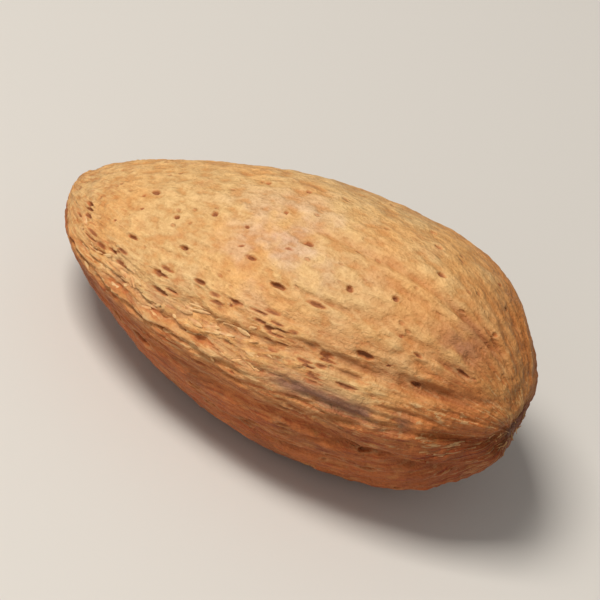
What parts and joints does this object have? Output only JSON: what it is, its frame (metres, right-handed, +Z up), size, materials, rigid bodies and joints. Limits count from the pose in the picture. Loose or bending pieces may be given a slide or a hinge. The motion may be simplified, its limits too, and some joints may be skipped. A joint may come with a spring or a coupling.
{
  "type": "almond in its shell",
  "caption": "Almond in its closed shell: pointed egg with a keeled seam, fanned furrows, small pits and a stem scar, lying on one face.",
  "frame": {"origin": "on the surface that the nut rests on, under the middle of its box", "axes": "+Z up, +X along the nut towards its stem end, with the pointed tip at -X and the seam edge facing -Y"},
  "size_m": [0.0368, 0.0226, 0.0197],
  "materials": {
    "shell": "dry woody nut shell, matte, pale golden tan turning to orange brown by the seam and the ends, with dark brown pits"
  },
  "bodies": {
    "root": {"almond": "shell"}
  },
  "joints": []
}
